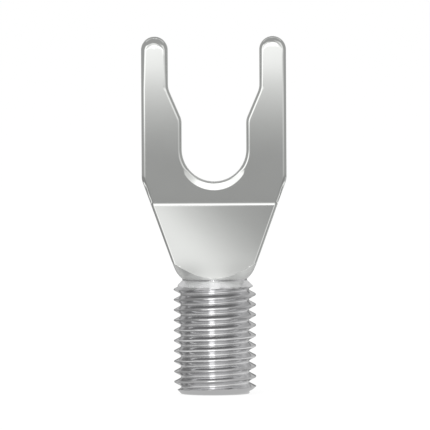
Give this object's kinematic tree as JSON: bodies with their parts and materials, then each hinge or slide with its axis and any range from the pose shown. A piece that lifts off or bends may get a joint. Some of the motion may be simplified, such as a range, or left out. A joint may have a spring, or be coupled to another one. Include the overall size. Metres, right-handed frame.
{
  "type": "fork terminal",
  "caption": "Screw-in fork terminal: a flat two-width fork on a wedge-shaped head, with a threaded stud below that screws into a connector barrel.",
  "frame": {"origin": "middle of the stud's flat end, which the part stands on", "axes": "+Z along the thread axis up to the fork's tips, +X across the two tines, +Y through the fork's thickness, away from the face that is seen"},
  "size_m": [0.0142, 0.008, 0.0348],
  "materials": {
    "plated_metal": "bright silver-grey plating over brass, polished on the fork and left as cut on the thread"
  },
  "bodies": {
    "root": {"fork_terminal": "plated_metal"}
  },
  "joints": []
}
